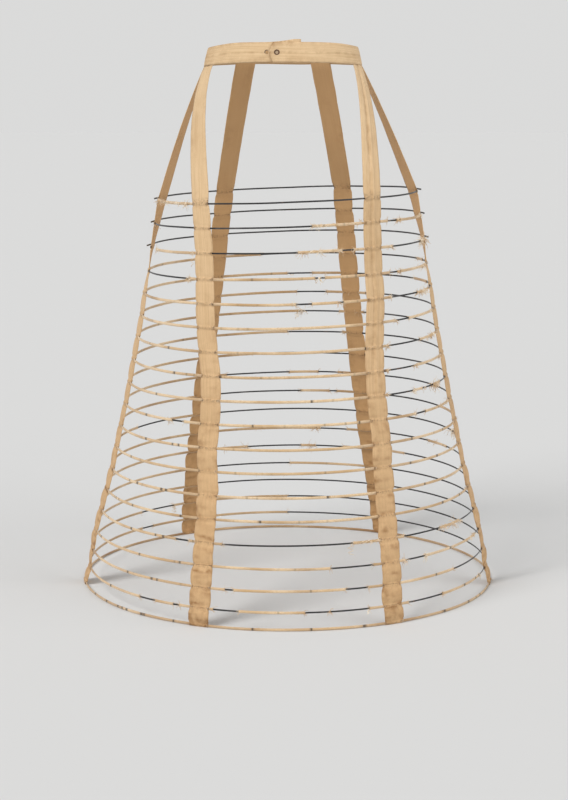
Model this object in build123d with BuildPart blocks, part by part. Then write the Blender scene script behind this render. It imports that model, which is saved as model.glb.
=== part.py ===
from build123d import *
from math import ceil, cos, radians, sin
import os

os.makedirs("parts", exist_ok=True)

# Crinoline cage: nineteen sprung steel hoops, each in what is left of its braided cotton cover,
# hang from a waistband on six double-woven tapes and stand on the folded tape ends.
# +Z is up and the front faces -Y. The origin is on the floor, in the middle of the hem hoop.
# Lengths are millimetres. Angles go round the cage in degrees, from 0 at the front to
# 90 at the wearer's left, which is the right-hand side seen from the front.

# Hoops, from the top one to the hem
hoop_radii = [197, 202.5, 209, 213, 220, 225, 231, 238, 245, 252, 260, 267, 274.5, 283, 292.5, 301, 307, 311, 319]
hoop_drops = [35.5, 36, 35.5, 34.5, 33, 33.5, 35, 35.5, 33.5, 33.5, 33, 34, 32.5, 32.5, 32, 30.5, 30, 25]
hem_depth_share = 0.97
lean_at_top = 2.0
steel_width = 2.4
steel_thickness = 0.5
straight_turn = 19.0
longest_turn = 27.0
slot_margin = 4.0

# Braided covers: the stretches that are left on each hoop, as start and end angles
cover_wall = 0.35
cover_spans = [
    [(-91, -31)],
    [(10, 91)],
    [(-71, -30), (4, 46)],
    [(-168, -87), (-42, 106)],
    [(-177, 44)],
    [(-177, 74)],
    [(-177, 40), (60, 75)],
    [(-177, 38), (53, 74)],
    [(-165, 37), (49, 72)],
    [(-155, 73)],
    [(-152, 109)],
    [(-152, 98)],
    [(-192, 71)],
    [(-190, 77)],
    [(-151, -19), (4, 61)],
    [(-151, 70)],
    [(-178, 54)],
    [(-179, 2), (20, 70)],
    [(-180, 180)],
]

# The three top hoops are each two lengths of steel, a front and a back one, that lie one above
# the other in the channels of the side tapes and reach a few degrees past the tapes' middles.
# The third hoop's front length is broken off short at its left.
split_hoops = 3
front_reach = 4.0
back_reach = 9.0
broken_front_end = -71
lap_rise = 2.9

# Tapes: the angle of each at the waistband, the top hoop, the middle hoop and the hem
tape_angles = {
    "tape_back_left": (-150, -149, -146.5, -148.3),
    "tape_side_left": (-98, -92, -81.5, -81),
    "tape_front_left": (-72, -40, -26.5, -23.7),
    "tape_front_right": (72, 38.5, 31.4, 28.7),
    "tape_side_right": (98, 92, 82.5, 80.5),
    "tape_back_right": (150, 153, 151.3, 149.2),
}
tape_width = 32.0
tape_thickness = 2.6
tape_fold = 0.8
channel_clearance = 0.15
hip_bow = {"tape_front_left": 9.0, "tape_front_right": 9.0}
drape_shares = (0.3, 0.65)

# Waistband: one strip of tape whose ends lap at the front
waist_half_width = 116.0
waist_half_depth = 86.0
waist_shift = -7.0
waist_straight_turn = 24.0
waist_longest_turn = 32.0
band_height = 30.0
band_thickness = 1.4
band_drop = 199.0
lap_gap = 0.3
over_end = -9.7
under_end = 13.5
lap_step = (17, 25)
tape_seat_gap = 0.3
tape_top_margin = 2.0

# Closure: a riveted stud through both ends and a worked eyelet hole beside it
stud_angle = -4.3
stud_head_radius = 4.2
stud_head_height = 1.3
stud_head_bevel = 0.8
stud_back_radius = 3.0
stud_back_height = 0.8
stud_post_radius = 1.5
stud_clearance = 0.1
eyelet_angle = -11.6
eyelet_radius = 2.8
fastener_sides = 10

hoop_count = len(hoop_radii)
cover_thickness = steel_thickness + 2 * cover_wall
cover_width = steel_width + 2 * cover_wall
hem_level = tape_fold + channel_clearance + cover_width / 2
hoop_levels = [hem_level + sum(hoop_drops[index:]) for index in range(hoop_count)]
band_bottom = hoop_levels[0] + band_drop
names = list(tape_angles)

# The sides' middles lie as far inside each hoop's true round as the corners lie outside it
corner_reach = 2 / (1 + cos(radians(straight_turn / 2)))

# The split hoops' ends keep to the side tapes' places on the top hoop
side_left = tape_angles["tape_side_left"][1]
side_right = tape_angles["tape_side_right"][1]
front_lengths = [(side_left - front_reach, side_right + front_reach)] * split_hoops
front_lengths[-1] = (broken_front_end, side_right + front_reach)
back_length = (side_right - back_reach, 360 + side_left + back_reach)


def three_point(share, first, middle, last):
    """Value on the smooth curve through three values at shares 0, 1/2 and 1."""
    return (
        first * (1 - share) * (1 - 2 * share)
        + middle * 4 * share * (1 - share)
        + last * share * (2 * share - 1)
    )


def tape_angle(name, index):
    return three_point(index / (hoop_count - 1), *tape_angles[name][1:])


def half_sizes(index):
    """Half width and half depth of one hoop; only the hem is a little flattened."""
    radius = hoop_radii[index] * corner_reach
    return radius, radius * (hem_depth_share if index == hoop_count - 1 else 1)


def on_ring(sizes, angle):
    return Vector(sizes[0] * sin(radians(angle)), -sizes[1] * cos(radians(angle)))


def corner_angles(middles, straight, longest):
    """Angles of a ring's corners: it runs straight under each tape and turns evenly between."""
    flats = [(middle - straight / 2, middle + straight / 2) for middle in middles]
    flats.append((flats[0][0] + 360, flats[0][1] + 360))
    angles = []
    for (start, end), (next_start, next_end) in zip(flats, flats[1:]):
        turns = ceil((next_start - end) / longest)
        angles.append(start)
        angles += [end + (next_start - end) * turn / turns for turn in range(turns)]
    return angles


def point_at(sizes, angles, angle):
    """Point of a many-sided ring at any angle, between two of its corners."""
    while angle < angles[0]:
        angle += 360
    while angle >= angles[0] + 360:
        angle -= 360
    corners = angles + [angles[0] + 360]
    for start, end in zip(corners, corners[1:]):
        if start <= angle < end:
            share = (angle - start) / (end - start)
            return on_ring(sizes, start) * (1 - share) + on_ring(sizes, end) * share


def stretch(angles, start, end):
    """The angles of one stretch: its two ends and every corner between them."""
    turned = [angle + 360 * turn for turn in (-1, 0, 1, 2) for angle in angles]
    return [start] + [angle for angle in turned if start + 0.01 < angle < end - 0.01] + [end]


def beside(points, distances, closed=False):
    """The points of a path moved outwards by their distances, with mitred corners."""
    moved = []
    last = len(points) - 1
    for index, point in enumerate(points):
        before = points[index - 1] if closed or index > 0 else None
        after = points[(index + 1) % len(points)] if closed or index < last else None
        into = (point - before).normalized() if before is not None else (after - point).normalized()
        out = (after - point).normalized() if after is not None else into
        normals = (Vector(into.Y, -into.X) + Vector(out.Y, -out.X)).normalized()
        moved.append(point + normals * (distances[index] / normals.dot(Vector(into.Y, -into.X))))
    return moved


def closed_strip(points, thickness):
    """Face of a ring of strip, seen along its width."""
    for side, mode in ((thickness / 2, Mode.ADD), (-thickness / 2, Mode.SUBTRACT)):
        with BuildLine() as outline:
            Polyline(*beside(points, [side] * len(points), closed=True), close=True)
        make_face(outline.edges(), mode=mode)


def open_strip(points, inner, outer):
    """Face of a length of strip, seen along its width."""
    with BuildLine() as outline:
        Polyline(*beside(points, outer), *reversed(beside(points, inner)), close=True)
    make_face(outline.edges())


def hoop_plane(index):
    """Each hoop lies in a plane that is a little higher at the right, less so lower down."""
    lean = lean_at_top * (hoop_levels[index] - hem_level) / (hoop_levels[0] - hem_level)
    tilt = radians(lean)
    return Plane(
        origin=(0, 0, hoop_levels[index]),
        x_dir=(cos(tilt), 0, sin(tilt)),
        z_dir=(-sin(tilt), 0, cos(tilt)),
    )


hoop_corners = [
    corner_angles([tape_angle(name, index) for name in names], straight_turn, longest_turn)
    for index in range(hoop_count)
]
waist_sizes = (waist_half_width, waist_half_depth)
waist_corners = corner_angles(
    [angles[0] for angles in tape_angles.values()], waist_straight_turn, waist_longest_turn
)


def flat_plane(plane, sizes, angles, order, shift=0.0):
    """Plane in the middle of the straight run under one tape: X along the run, Y inwards."""
    start = on_ring(sizes, angles[order])
    end = on_ring(sizes, angles[order + 1])
    run = (end - start).normalized()
    middle = (start + end) * 0.5 + Vector(run.Y, -run.X) * shift
    return Plane(
        origin=plane.from_local_coords(middle),
        x_dir=(plane.x_dir * run.X + plane.y_dir * run.Y),
        z_dir=plane.z_dir,
    )


def flat_order(angles, angle):
    """Place in the corner list where the straight run at this angle starts."""
    return max(order for order, corner in enumerate(angles) if corner < angle)


def between(first, second, share, bow=0.0):
    """A plane part of the way from one to the next, bowed outwards from the straight line."""
    x_dir = (first.x_dir * (1 - share) + second.x_dir * share).normalized()
    z_dir = (first.z_dir * (1 - share) + second.z_dir * share).normalized()
    outwards = x_dir.cross(z_dir)
    origin = first.origin * (1 - share) + second.origin * share + outwards * bow
    return Plane(origin=origin, x_dir=x_dir, z_dir=z_dir)


# Steel hoops and their covers
for index in range(hoop_count):
    plane = hoop_plane(index)
    sizes = half_sizes(index)
    corners = hoop_corners[index]
    with BuildPart() as steel:
        if index < split_hoops:
            lengths = [(front_lengths[index], 0.0), (back_length, lap_rise)]
            for (start, end), rise in lengths:
                points = [point_at(sizes, corners, angle) for angle in stretch(corners, start, end)]
                half = [steel_thickness / 2] * len(points)
                with BuildSketch(plane.offset(rise - steel_width / 2)):
                    open_strip(points, [-side for side in half], half)
                extrude(amount=steel_width)
        else:
            with BuildSketch(plane.offset(-steel_width / 2)):
                closed_strip([on_ring(sizes, angle) for angle in corners], steel_thickness)
            extrude(amount=steel_width)
    steel.part.label = f"steel_hoop_{index + 1:02d}"
    export_step(steel.part, f"parts/{steel.part.label}.step")

    with BuildPart() as cover:
        for start, end in cover_spans[index]:
            with BuildSketch(plane.offset(-cover_width / 2)):
                if end - start >= 360:
                    closed_strip([on_ring(sizes, angle) for angle in corners], cover_thickness)
                else:
                    points = [point_at(sizes, corners, angle) for angle in stretch(corners, start, end)]
                    half = [cover_thickness / 2] * len(points)
                    open_strip(points, [-side for side in half], half)
            extrude(amount=cover_width)
        add(steel.part, mode=Mode.SUBTRACT)
    cover.part.label = f"hoop_cover_{index + 1:02d}"
    export_step(cover.part, f"parts/{cover.part.label}.step")


# Waistband: an upright strip that goes once round the waist and laps over its own end
def band_level(height):
    return Plane(origin=(waist_shift, 0, band_bottom + height))


lap_rise_out = band_thickness + lap_gap
band_angles = stretch(waist_corners, over_end, 360 + under_end)
band_angles = sorted(set(band_angles) | set(lap_step))
band_layers = [lap_rise_out if angle <= lap_step[0] else 0 for angle in band_angles]


def band_face(angle, height, layer=0.0):
    """Plane on the outer face of the band, Z outwards: where the stud and the eyelet sit."""
    middle = band_level(height).from_local_coords(point_at(waist_sizes, waist_corners, angle))
    ahead = point_at(waist_sizes, waist_corners, angle + 1)
    behind = point_at(waist_sizes, waist_corners, angle - 1)
    outwards = (ahead - behind).normalized().cross(Vector(0, 0, 1))
    origin = middle + outwards * (band_thickness / 2 + layer)
    return Plane(origin=origin, x_dir=ahead - behind, z_dir=outwards)


stud_plane = band_face(stud_angle, band_height / 2, lap_rise_out)
eyelet_plane = band_face(eyelet_angle, band_height / 2)
stack = 2 * band_thickness + lap_gap

with BuildPart() as waistband:
    with BuildSketch(band_level(0)):
        open_strip(
            [point_at(waist_sizes, waist_corners, angle) for angle in band_angles],
            [layer - band_thickness / 2 for layer in band_layers],
            [layer + band_thickness / 2 for layer in band_layers],
        )
    extrude(amount=band_height)
    with BuildSketch(stud_plane):
        RegularPolygon(stud_post_radius + stud_clearance, fastener_sides)
    extrude(amount=-2 * stack, mode=Mode.SUBTRACT)
    with BuildSketch(eyelet_plane):
        RegularPolygon(eyelet_radius, fastener_sides)
    extrude(amount=-stack, mode=Mode.SUBTRACT)
waistband.part.label = "waistband"
export_step(waistband.part, "parts/waistband.step")

with BuildPart() as stud:
    with BuildSketch(stud_plane):
        RegularPolygon(stud_head_radius, fastener_sides)
    extrude(amount=stud_head_height)
    outermost = stud.faces().sort_by(Axis(stud_plane.origin, stud_plane.z_dir))[-1]
    chamfer(outermost.edges(), stud_head_bevel)
    with BuildSketch(stud_plane):
        RegularPolygon(stud_post_radius, fastener_sides)
    extrude(amount=-stack)
    with BuildSketch(stud_plane.offset(-stack)):
        RegularPolygon(stud_back_radius, fastener_sides)
    extrude(amount=-stud_back_height)
stud.part.label = "waist_stud"
export_step(stud.part, "parts/waist_stud.step")

# Tapes: each hangs from inside the waistband, runs straight over every hoop and folds under the hem
seat = -(band_thickness / 2 + tape_seat_gap + tape_thickness / 2)
for name in names:
    waist_order = flat_order(waist_corners, tape_angles[name][0])
    tops = [
        flat_plane(band_level(height), waist_sizes, waist_corners, waist_order, seat)
        for height in (band_height - tape_top_margin, 0)
    ]
    runs = [
        flat_plane(
            hoop_plane(index),
            half_sizes(index),
            hoop_corners[index],
            flat_order(hoop_corners[index], tape_angle(name, index)),
        )
        for index in range(hoop_count)
    ]
    stations = list(tops)
    for share in drape_shares:
        bow = hip_bow.get(name, 0.0) * 4 * share * (1 - share)
        stations.append(between(tops[1], runs[0], share, bow))
    channels = []
    for index, run in enumerate(runs):
        low = -cover_width / 2 - channel_clearance
        high = cover_width / 2 + channel_clearance
        if index < split_hoops and "front" not in name:
            high += lap_rise
            low += lap_rise if "back" in name else 0
        channels.append((run.offset((low + high) / 2), high - low))
        stations += [run.offset(high), run.offset(low)]
    stations.append(runs[-1].offset(-runs[-1].origin.Z))

    with BuildPart() as tape:
        for station in stations:
            with BuildSketch(station):
                Rectangle(tape_width, tape_thickness)
        loft(ruled=True)
        for middle, height in channels:
            with Locations(middle):
                Box(
                    tape_width + 2 * slot_margin,
                    cover_thickness + 2 * channel_clearance,
                    height,
                    mode=Mode.SUBTRACT,
                )
    tape.part.label = name
    export_step(tape.part, f"parts/{name}.step")
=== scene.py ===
import math
import random

import bmesh
import bpy
import numpy
from mathutils import Matrix, Vector, noise


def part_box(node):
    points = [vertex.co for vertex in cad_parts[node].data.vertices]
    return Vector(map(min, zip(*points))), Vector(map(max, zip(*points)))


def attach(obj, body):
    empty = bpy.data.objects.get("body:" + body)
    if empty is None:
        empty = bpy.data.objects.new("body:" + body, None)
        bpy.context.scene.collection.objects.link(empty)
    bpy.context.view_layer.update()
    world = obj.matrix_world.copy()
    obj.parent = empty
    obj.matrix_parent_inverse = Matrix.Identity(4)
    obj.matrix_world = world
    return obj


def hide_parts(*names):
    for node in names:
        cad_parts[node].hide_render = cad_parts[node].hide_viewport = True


# Crinoline cage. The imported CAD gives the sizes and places, this script gives the looks.
print("loading the frame")
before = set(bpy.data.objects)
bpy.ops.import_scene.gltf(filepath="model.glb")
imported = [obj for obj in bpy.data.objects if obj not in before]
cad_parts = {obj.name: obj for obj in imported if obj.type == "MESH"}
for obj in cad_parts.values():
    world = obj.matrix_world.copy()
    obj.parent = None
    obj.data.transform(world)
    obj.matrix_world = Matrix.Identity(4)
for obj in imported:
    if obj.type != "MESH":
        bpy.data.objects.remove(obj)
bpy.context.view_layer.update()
dice = random.Random(1865)
hoopCount = 19
mm = 0.001


# Camera, light and floor

stageSet = {
    "distance": 2.786,  # camera in front of the cage's middle
    "height": 0.7585,
    "aside": -0.0054,
    "pitchDown": 9.744,
    "lens": 81.5,
    "floorSize": 60.0,
    "floorColour": (0.66, 0.66, 0.655, 1),
    "seenColour": (0.705, 0.705, 0.7, 1),  # what the lit floor comes to
    "skyColour": (1.0, 1.0, 1.0, 1),
    "skyStrength": 0.42,
    "suns": {  # strength, height and bearing from the camera's side in degrees, softness
        "key": (2.3, 42, -46, 28),
        "fill": (1.6, 18, 64, 60),
    },
}


def setCamera():
    camera = bpy.data.objects.new("camera", bpy.data.cameras.new("camera"))
    bpy.context.scene.collection.objects.link(camera)
    camera.location = (stageSet["aside"], -stageSet["distance"], stageSet["height"])
    camera.rotation_euler = (math.radians(90 - stageSet["pitchDown"]), 0, 0)
    camera.data.lens = stageSet["lens"]
    bpy.context.scene.camera = camera


def hangSuns():
    for kind, (strength, height, bearing, softness) in stageSet["suns"].items():
        bpy.ops.object.light_add(type="SUN")
        light = bpy.context.object
        light.name = kind + "Light"
        light.data.energy = strength
        light.data.angle = math.radians(softness)
        light.rotation_euler = (math.radians(90 - height), 0, math.radians(bearing))


def layFloor():
    bpy.ops.mesh.primitive_plane_add(size=stageSet["floorSize"])
    floor = bpy.context.object
    floor.name = "floor"
    paint = bpy.data.materials.new("paleFloor")
    paint.use_nodes = True
    shader = paint.node_tree.nodes["Principled BSDF"]
    shader.inputs["Base Color"].default_value = stageSet["floorColour"]
    shader.inputs["Roughness"].default_value = 1.0
    shader.inputs["Specular IOR Level"].default_value = 0.0
    floor.data.materials.append(paint)


def makeSky():
    # the sky lights the cage in white, and the camera sees it in the floor's colour
    world = bpy.data.worlds.new("studio")
    world.use_nodes = True
    nodes = world.node_tree.nodes
    links = world.node_tree.links
    sky = nodes["Background"]
    sky.inputs["Color"].default_value = stageSet["skyColour"]
    sky.inputs["Strength"].default_value = stageSet["skyStrength"]
    seen = nodes.new("ShaderNodeBackground")
    seen.inputs["Color"].default_value = stageSet["seenColour"]
    rays = nodes.new("ShaderNodeLightPath")
    direct = rays.outputs["Is Camera Ray"]
    for kind in ("Is Glossy Ray", "Is Transmission Ray"):
        either = nodes.new("ShaderNodeMath")
        either.operation = "MAXIMUM"
        links.new(direct, either.inputs[0])
        links.new(rays.outputs[kind], either.inputs[1])
        direct = either.outputs[0]
    blend = nodes.new("ShaderNodeMixShader")
    links.new(direct, blend.inputs["Fac"])
    links.new(sky.outputs["Background"], blend.inputs[1])
    links.new(seen.outputs["Background"], blend.inputs[2])
    links.new(blend.outputs["Shader"], nodes["World Output"].inputs["Surface"])
    bpy.context.scene.world = world


def setStage():
    print("camera, light and floor")
    bpy.ops.object.select_all(action="DESELECT")
    setCamera()
    hangSuns()
    layFloor()
    makeSky()
    bpy.context.scene.view_settings.view_transform = "Standard"


# Materials

finish = {
    "tapeHigh": (0.83, 0.60, 0.355, 1),
    "tapeLow": (0.71, 0.455, 0.235, 1),
    "tapeTan": (0.60, 0.385, 0.19, 1),
    "tapeBrown": (0.36, 0.185, 0.07, 1),
    # the inner faces of the tapes and band: cloth less bleached inside, and a warm painted shade
    "tapeInside": (0.56, 0.315, 0.13, 1),
    "coverLight": (0.83, 0.63, 0.40, 1),
    "coverTan": (0.62, 0.41, 0.21, 1),
    "coverBrown": (0.29, 0.15, 0.06, 1),
    "threadPale": (0.92, 0.8, 0.62, 1),
    # near black: dark stains and spots, and the eyelet's painted shade
    "stainAndShade": (0.045, 0.024, 0.014, 1),
    "steelDark": (0.045, 0.043, 0.043, 1),
    "steelWorn": (0.14, 0.13, 0.125, 1),
    "rust": (0.16, 0.07, 0.03, 1),
    "studDark": (0.09, 0.05, 0.03, 1),
    "studPale": (0.42, 0.31, 0.2, 1),
}


class Recipe:
    # a material in the making: its nodes are added and linked by name
    def __init__(self, name):
        self.material = bpy.data.materials.new(name)
        self.material.use_nodes = True
        self.tree = self.material.node_tree

    def connect(self, node, inputs):
        for key, value in inputs.items():
            if isinstance(value, bpy.types.NodeSocket):
                self.tree.links.new(value, node.inputs[key])
            else:
                node.inputs[key].default_value = value

    def add(self, kind, inputs=None, **settings):
        node = self.tree.nodes.new("ShaderNode" + kind)
        for key, value in settings.items():
            setattr(node, key, value)
        self.connect(node, inputs or {})
        return node

    def objectPlace(self):
        return self.add("TexCoord").outputs["Object"]

    def surfacePlace(self):
        return self.add("UVMap", uv_map="weave").outputs["UV"]

    def mark(self, name):
        return self.add("Attribute", attribute_name=name).outputs["Fac"]

    def cloud(self, scale, detail, place=None, roughness=0.55):
        settings = {"Vector": place or self.objectPlace(), "Scale": scale, "Detail": detail}
        settings["Roughness"] = roughness
        return self.add("TexNoise", settings).outputs["Fac"]

    def ramp(self, value, low, high, way="SMOOTHSTEP"):
        spread = {"Value": value, "From Min": low, "From Max": high}
        return self.add("MapRange", spread, interpolation_type=way).outputs["Result"]

    def maths(self, action, first, second=0.0):
        return self.add("Math", {0: first, 1: second}, operation=action).outputs[0]

    def blend(self, share, first, second, mode="MIX"):
        inputs = {0: share, 6: first, 7: second}
        return self.add("Mix", inputs, data_type="RGBA", blend_type=mode).outputs[2]

    def tint(self, colour, where, amount, other):
        return self.blend(self.maths("MULTIPLY", where, amount), colour, other)

    def shade(self, colour, threads, least, most):
        # darkens a colour between its threads
        light = self.maths("ADD", self.maths("MULTIPLY", threads, most - least), least)
        grey = self.add("CombineColor", {0: light, 1: light, 2: light}).outputs[0]
        return self.blend(1.0, colour, grey, "MULTIPLY")

    def ripples(self, place, turn, scale):
        turned = self.add("Mapping", {"Vector": place, "Rotation": (0, 0, math.radians(turn))})
        waves = {"Vector": turned.outputs["Vector"], "Scale": scale, "Distortion": 0.6}
        waves["Detail"] = 1.0
        waves["Detail Scale"] = 2.0
        return self.add("TexWave", waves, wave_type="BANDS", bands_direction="X").outputs["Fac"]

    def bump(self, height, distance, strength, over=None):
        inputs = {"Height": height, "Distance": distance, "Strength": strength}
        if over is not None:
            inputs["Normal"] = over
        return self.add("Bump", inputs).outputs["Normal"]

    def done(self, colour, roughness, normal, metallic=0.0, sheen=0.0):
        inputs = {"Base Color": colour, "Roughness": roughness, "Normal": normal}
        inputs.update({"Metallic": metallic, "Sheen Weight": sheen})
        self.connect(self.tree.nodes["Principled BSDF"], inputs)
        return self.material


tapeLook = {
    "fade": (0.15, 0.72),  # the heights at which the cloth is tapeLow and tapeHigh
    "age": 0.6,  # these are how far each mark changes the colour
    "stripes": 0.55,
    "slubs": 0.35,
    "soil": 1.3,
    "stripeStretch": (1.0, 0.012, 1.0),
    "warp": 0.55,  # ripples to a millimetre
    "weft": 0.4,
    "threadLight": (0.8, 1.08),
    "sheen": 0.05,
}


def makeTapeCloth():
    # UVs run in millimetres: x across the tape, y along it
    cloth = Recipe("tapeCloth")
    weave = cloth.surfacePlace()
    height = cloth.add("SeparateXYZ", {0: cloth.objectPlace()}).outputs["Z"]
    risen = cloth.ramp(height, *tapeLook["fade"], way="LINEAR")
    colour = cloth.blend(risen, finish["tapeLow"], finish["tapeHigh"])
    age = cloth.ramp(cloth.cloud(9.0, 5.0), 0.42, 0.78)
    colour = cloth.tint(colour, age, tapeLook["age"], finish["tapeTan"])
    long = cloth.add("Mapping", {"Vector": weave, "Scale": tapeLook["stripeStretch"]}).outputs["Vector"]
    stripes = cloth.ramp(cloth.cloud(0.9, 3.0, long), 0.42, 0.66)
    colour = cloth.tint(colour, stripes, tapeLook["stripes"], finish["tapeTan"])
    slubs = cloth.ramp(cloth.cloud(1.6, 6.0, weave), 0.5, 0.8)
    colour = cloth.tint(colour, slubs, tapeLook["slubs"], finish["tapeHigh"])
    # inner faces: less bleached cloth, with a warm painted shade
    colour = cloth.blend(cloth.mark("inside"), colour, finish["tapeInside"])
    patches = cloth.maths("MULTIPLY", cloth.mark("soil"), cloth.ramp(cloth.cloud(90.0, 6.0), 0.3, 0.7))
    colour = cloth.tint(colour, patches, tapeLook["soil"], finish["tapeBrown"])
    specks = cloth.maths("MULTIPLY", cloth.mark("mark"), cloth.ramp(cloth.cloud(420.0, 3.0), 0.5, 0.58))
    colour = cloth.blend(specks, colour, finish["stainAndShade"])
    warp = cloth.ripples(weave, 0, tapeLook["warp"])
    weft = cloth.ripples(weave, 90, tapeLook["weft"])
    threads = cloth.maths("MULTIPLY", warp, weft)
    colour = cloth.shade(colour, threads, *tapeLook["threadLight"])
    relief = cloth.bump(threads, 0.00018, 0.8)
    relief = cloth.bump(cloth.cloud(240.0, 3.0), 0.0004, 0.5, relief)
    return cloth.done(colour, 0.95, relief, sheen=tapeLook["sheen"])


braidLook = {
    "flecks": 0.55,  # how far they change the colour
    "strandTurn": 45,  # degrees to the length of the sleeve
    "strandRipples": 0.32,
    "strandLight": (0.66, 1.11),
    "sheen": 0.3,
}


def makeBraid():
    # UVs: x counts the strands round the sleeve, y runs along it in strand widths
    braid = Recipe("braidedCotton")
    weave = braid.surfacePlace()
    one = braid.ripples(weave, braidLook["strandTurn"], braidLook["strandRipples"])
    other = braid.ripples(weave, -braidLook["strandTurn"], braidLook["strandRipples"])
    strands = braid.maths("MAXIMUM", one, other)
    age = braid.ramp(braid.cloud(14.0, 5.0), 0.35, 0.68)
    colour = braid.blend(age, finish["coverLight"], finish["coverTan"])
    flecks = braid.ramp(braid.cloud(420.0, 3.0), 0.5, 0.66)
    colour = braid.tint(colour, flecks, braidLook["flecks"], finish["coverTan"])
    colour = braid.blend(braid.mark("soil"), colour, finish["coverBrown"])
    colour = braid.blend(braid.mark("mark"), colour, finish["stainAndShade"])
    colour = braid.shade(colour, strands, *braidLook["strandLight"])
    relief = braid.bump(strands, 0.0004, 0.9)
    return braid.done(colour, 0.9, relief, sheen=braidLook["sheen"])


def makeLooseThread():
    thread = Recipe("looseThread")
    age = thread.ramp(thread.cloud(55.0, 4.0), 0.35, 0.65)
    colour = thread.blend(age, finish["threadPale"], finish["coverTan"])
    colour = thread.blend(thread.mark("soil"), colour, finish["coverBrown"])
    # near black at the highest marks: dark stains, and the eyelet stitches' painted shade
    colour = thread.blend(thread.ramp(thread.mark("soil"), 0.85, 1.0), colour, finish["stainAndShade"])
    relief = thread.bump(thread.cloud(1800.0, 2.0), 0.0002, 0.6)
    return thread.done(colour, 0.9, relief, sheen=braidLook["sheen"])


steelLook = {
    "rust": 0.8,  # how far it changes the colour
    "roughness": 0.36,
    "metallic": 0.75,
    "rustRoughness": 0.4,  # more than the steel's
    "rustDullness": 0.6,
}


def makeSpringSteel():
    steel = Recipe("springSteel")
    wear = steel.ramp(steel.cloud(35.0, 6.0), 0.52, 0.78)
    colour = steel.blend(wear, finish["steelDark"], finish["steelWorn"])
    rust = steel.ramp(steel.cloud(90.0, 6.0, roughness=0.7), 0.6, 0.74)
    colour = steel.tint(colour, rust, steelLook["rust"], finish["rust"])
    rough = steel.maths("MULTIPLY", rust, steelLook["rustRoughness"])
    dull = steel.maths("MULTIPLY", rust, steelLook["rustDullness"])
    roughness = steel.maths("ADD", rough, steelLook["roughness"])
    metallic = steel.maths("SUBTRACT", steelLook["metallic"], dull)
    relief = steel.bump(steel.cloud(700.0, 4.0), 0.0001, 0.5)
    return steel.done(colour, roughness, relief, metallic)


def makeStudMetal():
    stud = Recipe("rustedStud")
    pits = stud.cloud(900.0, 5.0, roughness=0.65)
    colour = stud.blend(stud.ramp(pits, 0.4, 0.62), finish["studDark"], finish["rust"])
    colour = stud.blend(stud.mark("pale"), colour, finish["studPale"])
    relief = stud.bump(pits, 0.0003, 0.7)
    return stud.done(colour, 0.62, relief, metallic=0.35)


# Where things lie, read from the CAD

hoopShape = {
    "sidesToRound": 1 / 1.0069,  # the CAD hoop's corners stand this far outside the round
    "waver": 0.0007,
    "waverGrain": (1.3, 3.7, 1.7),  # round a hoop, from hoop to hoop, up against out
    "frontDip": {1: -1.2, 2: -2.2, 3: -1.8, 4: -0.5, 5: 0.4, 6: 1.5, 7: 2.3, 8: 1.5},  # mm
    "crossingReach": 0.006,  # a tape's corners this near a hoop show where it crosses
}
tapeNames = ["front_left", "front_right", "side_left", "side_right", "back_left", "back_right"]


def nodeCorners(node):
    return numpy.array([vertex.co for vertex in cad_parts[node].data.vertices])


def measureHoop(number):
    corners = nodeCorners(f"steel_hoop_{number:02d}")
    front = corners[corners[:, 1] < 0]
    squares = numpy.linalg.lstsq(corners[:, :2] ** 2, numpy.ones(len(corners)), rcond=None)[0]
    table = numpy.column_stack([numpy.ones(len(front)), front[:, 0]])
    level, slope = numpy.linalg.lstsq(table, front[:, 2], rcond=None)[0]
    return {
        "halfWidth": squares[0] ** -0.5 * hoopShape["sidesToRound"],
        "halfDepth": squares[1] ** -0.5 * hoopShape["sidesToRound"],
        "level": level,
        "slope": slope,
        "dip": hoopShape["frontDip"].get(number, 0.0) * mm,
    }


def hoopPoint(number, angle, outwards=0.0, upwards=0.0):
    # 0 degrees is the front, 90 the wearer's left
    hoop = hoops[number]
    turn = math.radians(angle)
    around, between, upGrain = hoopShape["waverGrain"]
    seat = Vector((around * math.sin(turn), around * math.cos(turn), between * number))
    out = outwards + hoopShape["waver"] * noise.noise(seat)
    lift = upwards + hoopShape["waver"] * noise.noise(seat * upGrain)
    x = (hoop["halfWidth"] + out) * math.sin(turn)
    y = -(hoop["halfDepth"] + out) * math.cos(turn)
    return Vector((x, y, hoop["level"] + hoop["slope"] * x - hoop["dip"] * math.cos(turn) + lift))


def outwardsAt(angle):
    return Vector((math.sin(math.radians(angle)), -math.cos(math.radians(angle)), 0))


def alongHoop(number, angle):
    return (hoopPoint(number, angle + 0.5) - hoopPoint(number, angle - 0.5)).normalized()


def hoopRun(number, degrees):
    # metres round a hoop
    return math.radians(degrees) * hoops[number]["halfWidth"]


def tapeCrossing(tape, number):
    # the angle at which a CAD tape crosses a hoop
    corners = nodeCorners("tape_" + tape)
    hoop = hoops[number]
    plane = hoop["level"] + hoop["slope"] * corners[:, 0]
    beside = corners[abs(corners[:, 2] - plane) < hoopShape["crossingReach"]]
    middle = beside.mean(axis=0)
    return math.degrees(math.atan2(middle[0] / hoop["halfWidth"], -middle[1] / hoop["halfDepth"]))


def tapeCrossings(tape):
    angles = {number: tapeCrossing(tape, number) for number in hoops}
    for number in range(2, hoopCount + 1):  # no jump from 180 to -180
        before = angles[number - 1]
        angles[number] = before + (angles[number] - before + 180) % 360 - 180
    return angles


def strayTapes(strays):
    # the cloth wanders a little from hoop to hoop
    for tape, stops in strays.items():
        for number in hoops:
            stray = numpy.interp(number, [stop[0] for stop in stops], [stop[1] for stop in stops])
            crossings[tape][number] += math.degrees(float(stray) * mm / hoops[number]["halfWidth"])


hoops = {number: measureHoop(number) for number in range(1, hoopCount + 1)}
crossings = {tape: tapeCrossings(tape) for tape in tapeNames}


# Mesh helpers

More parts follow.
